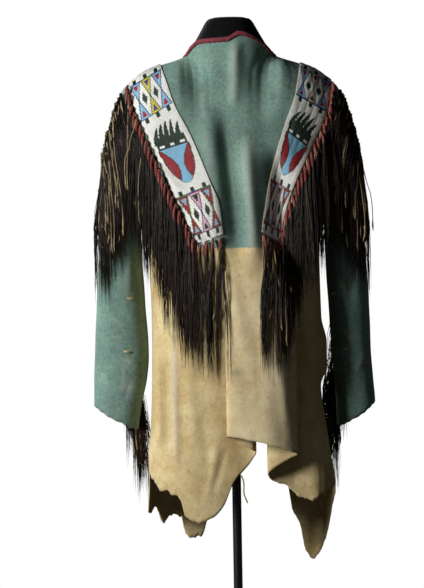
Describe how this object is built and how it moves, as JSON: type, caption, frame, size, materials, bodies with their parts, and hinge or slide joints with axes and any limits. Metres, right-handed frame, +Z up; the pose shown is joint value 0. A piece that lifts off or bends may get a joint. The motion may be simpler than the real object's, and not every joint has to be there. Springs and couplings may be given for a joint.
{
  "type": "plains war shirt on a limbless dress form",
  "caption": "Painted hide shirt with beaded shoulder and sleeve bands, hair and thong fringe and a wool-bound neck, standing hollow on a covered limbless form, pole and round base.",
  "frame": {"origin": "centre of the round base's underside, on the floor", "axes": "+Z up along the pole, -Y to the side that the shirt's back faces, +X to the wearer's right"},
  "size_m": [0.5756, 0.3505, 1.471],
  "materials": {
    "painted_hide": "smoked buckskin, green pigment rubbed into the upper part and yellow into the lower, matt and napped",
    "seed_beads": "opaque glass seed beads in lanes, white ground with coloured motifs",
    "hair": "black-brown horsehair locks with red wool wraps and tan thongs",
    "wool_binding": "red trade cloth, fulled and matt",
    "form_cover": "black stretch cloth, matt",
    "stand_paint": "black satin powder coat"
  },
  "bodies": {
    "root": {"shirt_back": "painted_hide", "shirt_front": "painted_hide", "sleeve_left": "painted_hide", "sleeve_right": "painted_hide", "bead_strip_left": "seed_beads", "bead_strip_right": "seed_beads", "sleeve_strip_left": "seed_beads", "sleeve_strip_right": "seed_beads", "fringe_back_left": "hair", "fringe_back_right": "hair", "fringe_front_left": "hair", "fringe_front_right": "hair", "fringe_sleeve_left": "hair", "fringe_sleeve_right": "hair", "neck_binding": "wool_binding", "dress_form": "form_cover", "stand_pole": "stand_paint", "stand_base": "stand_paint"}
  },
  "joints": []
}
